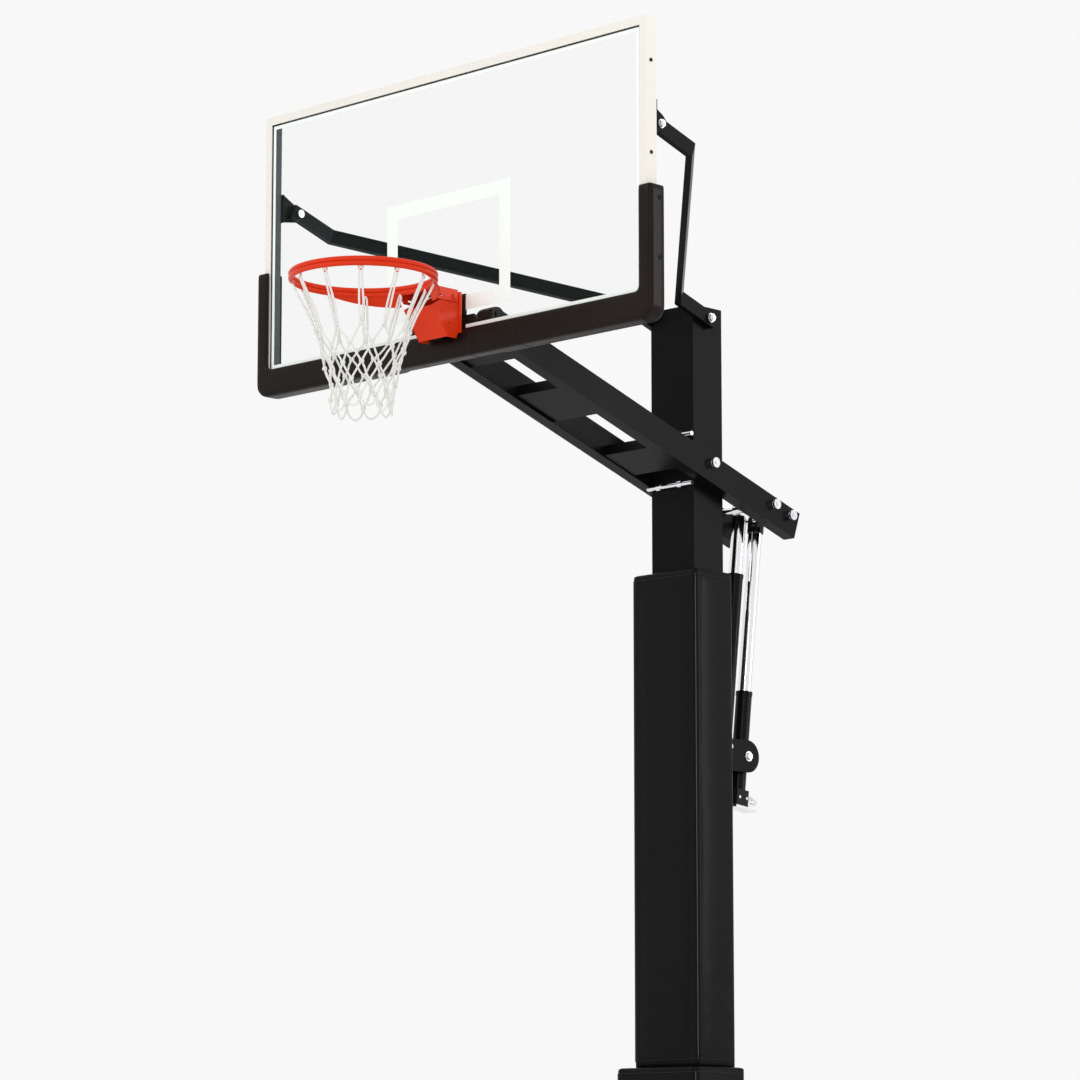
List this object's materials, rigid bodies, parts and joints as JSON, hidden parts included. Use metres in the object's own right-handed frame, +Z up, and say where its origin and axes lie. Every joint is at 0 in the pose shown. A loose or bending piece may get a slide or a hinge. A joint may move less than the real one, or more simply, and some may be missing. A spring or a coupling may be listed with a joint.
{
  "type": "basketball hoop",
  "caption": "Portable basketball hoop: ballasted base, padded post, parallel lifting arms with a crank screw, framed glass board and sprung rim with net.",
  "frame": {"origin": "on the floor under the centre of the post", "axes": "+X to the right seen from the court, -Y towards the court where the rim is, +Z up"},
  "size_m": [1.886, 3.2955, 3.813],
  "materials": {
    "steel_black": "satin black powder coat",
    "steel_grey": "bright zinc plate",
    "chrome": "polished",
    "casing_black": "satin black",
    "frame_white": "smooth cream-white powder coat",
    "glass": "clear toughened glass",
    "gasket": "matt black",
    "print": "white fired enamel",
    "bracket_brown": "dark satin paint",
    "board_pad": "dark moulded foam rubber skin",
    "pad_vinyl": "black coated fabric over foam",
    "rim_orange": "orange-red powder coat",
    "net_cord": "white braided cord",
    "tyre": "black rubber",
    "hub": "grey moulded nylon",
    "ballast": "cast concrete",
    "foot_rubber": "black rubber"
  },
  "bodies": {
    "stand": {"base_tray": "steel_black", "wheel_mounts": "steel_black", "ballast_blocks": "ballast", "base_deck": "steel_black", "post_foot": "steel_black", "level_feet": "foot_rubber", "post": "steel_black", "post_cap": "steel_black", "post_pad": "pad_vinyl", "foot_pad": "pad_vinyl", "stop_rods": "chrome", "screw_bracket": "steel_black", "bracket_bolts": "steel_grey"},
    "wheel_left": {"wheel_tyre_left": "tyre", "wheel_hub_left": "hub"},
    "wheel_right": {"wheel_tyre_right": "tyre", "wheel_hub_right": "hub"},
    "caster_left": {"caster_fork_left": "steel_grey"},
    "caster_right": {"caster_fork_right": "steel_grey"},
    "caster_wheel_left": {"caster_tyre_left": "tyre", "caster_hub_left": "hub"},
    "caster_wheel_right": {"caster_tyre_right": "tyre", "caster_hub_right": "hub"},
    "lower_arm": {"beam_left": "steel_black", "beam_right": "steel_black", "cross_front": "steel_black", "cross_middle": "steel_black", "cross_rear": "steel_black", "pivot_pin": "chrome", "spring_pin": "chrome", "screw_pin": "chrome", "board_pin": "steel_black"},
    "upper_arms": {"upper_arm_left": "steel_black", "upper_arm_right": "steel_black", "upper_pin": "steel_grey"},
    "board": {"board_frame": "frame_white", "glass_gasket": "gasket", "glass": "glass", "board_print": "print", "centre_bracket": "bracket_brown", "tab_left": "steel_black", "tab_right": "steel_black", "tab_pins": "steel_grey", "board_pad": "board_pad", "board_screws": "steel_black", "rim_plate": "rim_orange", "rim_cover": "rim_orange", "rim_hinge_pin": "rim_orange"},
    "rim": {"rim_bracket": "rim_orange", "ring": "rim_orange", "ring_brace": "rim_orange", "net": "net_cord"},
    "screw_rod": {"screw_tube": "chrome", "screw_clevis": "casing_black"},
    "screw_case": {"screw_casing": "casing_black", "gearbox": "casing_black", "gearbox_plate": "chrome"},
    "crank": {"crank_fitting": "chrome"},
    "spring_rod": {"spring_tube": "chrome"},
    "spring_case": {"spring_casing": "casing_black"}
  },
  "joints": [
    {"name": "arm_lift", "type": "hinge", "parent": "stand", "child": "lower_arm", "pos_m": [0, -0.043, 2.591], "axis": [1, 0, 0], "range_deg": [0, 32]},
    {"name": "upper_lift", "type": "hinge", "parent": "stand", "child": "upper_arms", "pos_m": [0, -0.013, 3.119], "axis": [1, 0, 0], "range_deg": [0, 32]},
    {"name": "board_level", "type": "hinge", "parent": "lower_arm", "child": "board", "pos_m": [0, -1.10986, 2.94797], "axis": [1, 0, 0], "range_deg": [-32, 0]},
    {"name": "rim_flex", "type": "hinge", "parent": "board", "child": "rim", "pos_m": [0, -1.222, 3.01], "axis": [1, 0, 0], "range_deg": [0, 20], "stiffness_Nm_per_rad": 160, "springref_deg": -34.38},
    {"name": "screw_swing", "type": "hinge", "parent": "lower_arm", "child": "screw_rod", "pos_m": [0, 0.36573, 2.45424], "axis": [1, 0, 0], "range_deg": [-32, 0]},
    {"name": "screw_slide", "type": "slide", "parent": "screw_rod", "child": "screw_case", "axis": [0, -0.1141, -0.9935], "range_m": [0, 0.238]},
    {"name": "crank_turn", "type": "hinge", "parent": "screw_case", "child": "crank", "pos_m": [0, 0.29982, 1.44265], "axis": [0, 0.9935, -0.1141], "continuous": true},
    {"name": "spring_swing", "type": "hinge", "parent": "lower_arm", "child": "spring_rod", "pos_m": [0, 0.27848, 2.48343], "axis": [1, 0, 0], "range_deg": [-32, 0]},
    {"name": "spring_slide", "type": "slide", "parent": "spring_rod", "child": "spring_case", "axis": [0, -0.1141, -0.9935], "range_m": [0, 0.188]},
    {"name": "wheel_left_spin", "type": "hinge", "parent": "stand", "child": "wheel_left", "pos_m": [-0.406, -0.29, 0.082], "axis": [1, 0, 0], "continuous": true},
    {"name": "wheel_right_spin", "type": "hinge", "parent": "stand", "child": "wheel_right", "pos_m": [0.406, -0.29, 0.082], "axis": [1, 0, 0], "continuous": true},
    {"name": "caster_left_swivel", "type": "hinge", "parent": "stand", "child": "caster_left", "pos_m": [-0.3, 1.374, 0.18], "axis": [0, 0, 1], "continuous": true},
    {"name": "caster_right_swivel", "type": "hinge", "parent": "stand", "child": "caster_right", "pos_m": [0.3, 1.374, 0.18], "axis": [0, 0, 1], "continuous": true},
    {"name": "caster_left_spin", "type": "hinge", "parent": "caster_left", "child": "caster_wheel_left", "pos_m": [-0.3, 1.409, 0.082], "axis": [1, 0, 0], "continuous": true},
    {"name": "caster_right_spin", "type": "hinge", "parent": "caster_right", "child": "caster_wheel_right", "pos_m": [0.3, 1.409, 0.082], "axis": [1, 0, 0], "continuous": true}
  ],
  "couplings": [
    {"joint": "upper_lift", "follows": "arm_lift", "ratio": 1},
    {"joint": "board_level", "follows": "arm_lift", "ratio": -1},
    {"joint": "screw_swing", "follows": "arm_lift", "ratio": -0.991},
    {"joint": "screw_slide", "follows": "arm_lift", "m_per_rad": 0.4246},
    {"joint": "spring_swing", "follows": "arm_lift", "ratio": -0.9925},
    {"joint": "spring_slide", "follows": "arm_lift", "m_per_rad": 0.3359}
  ]
}
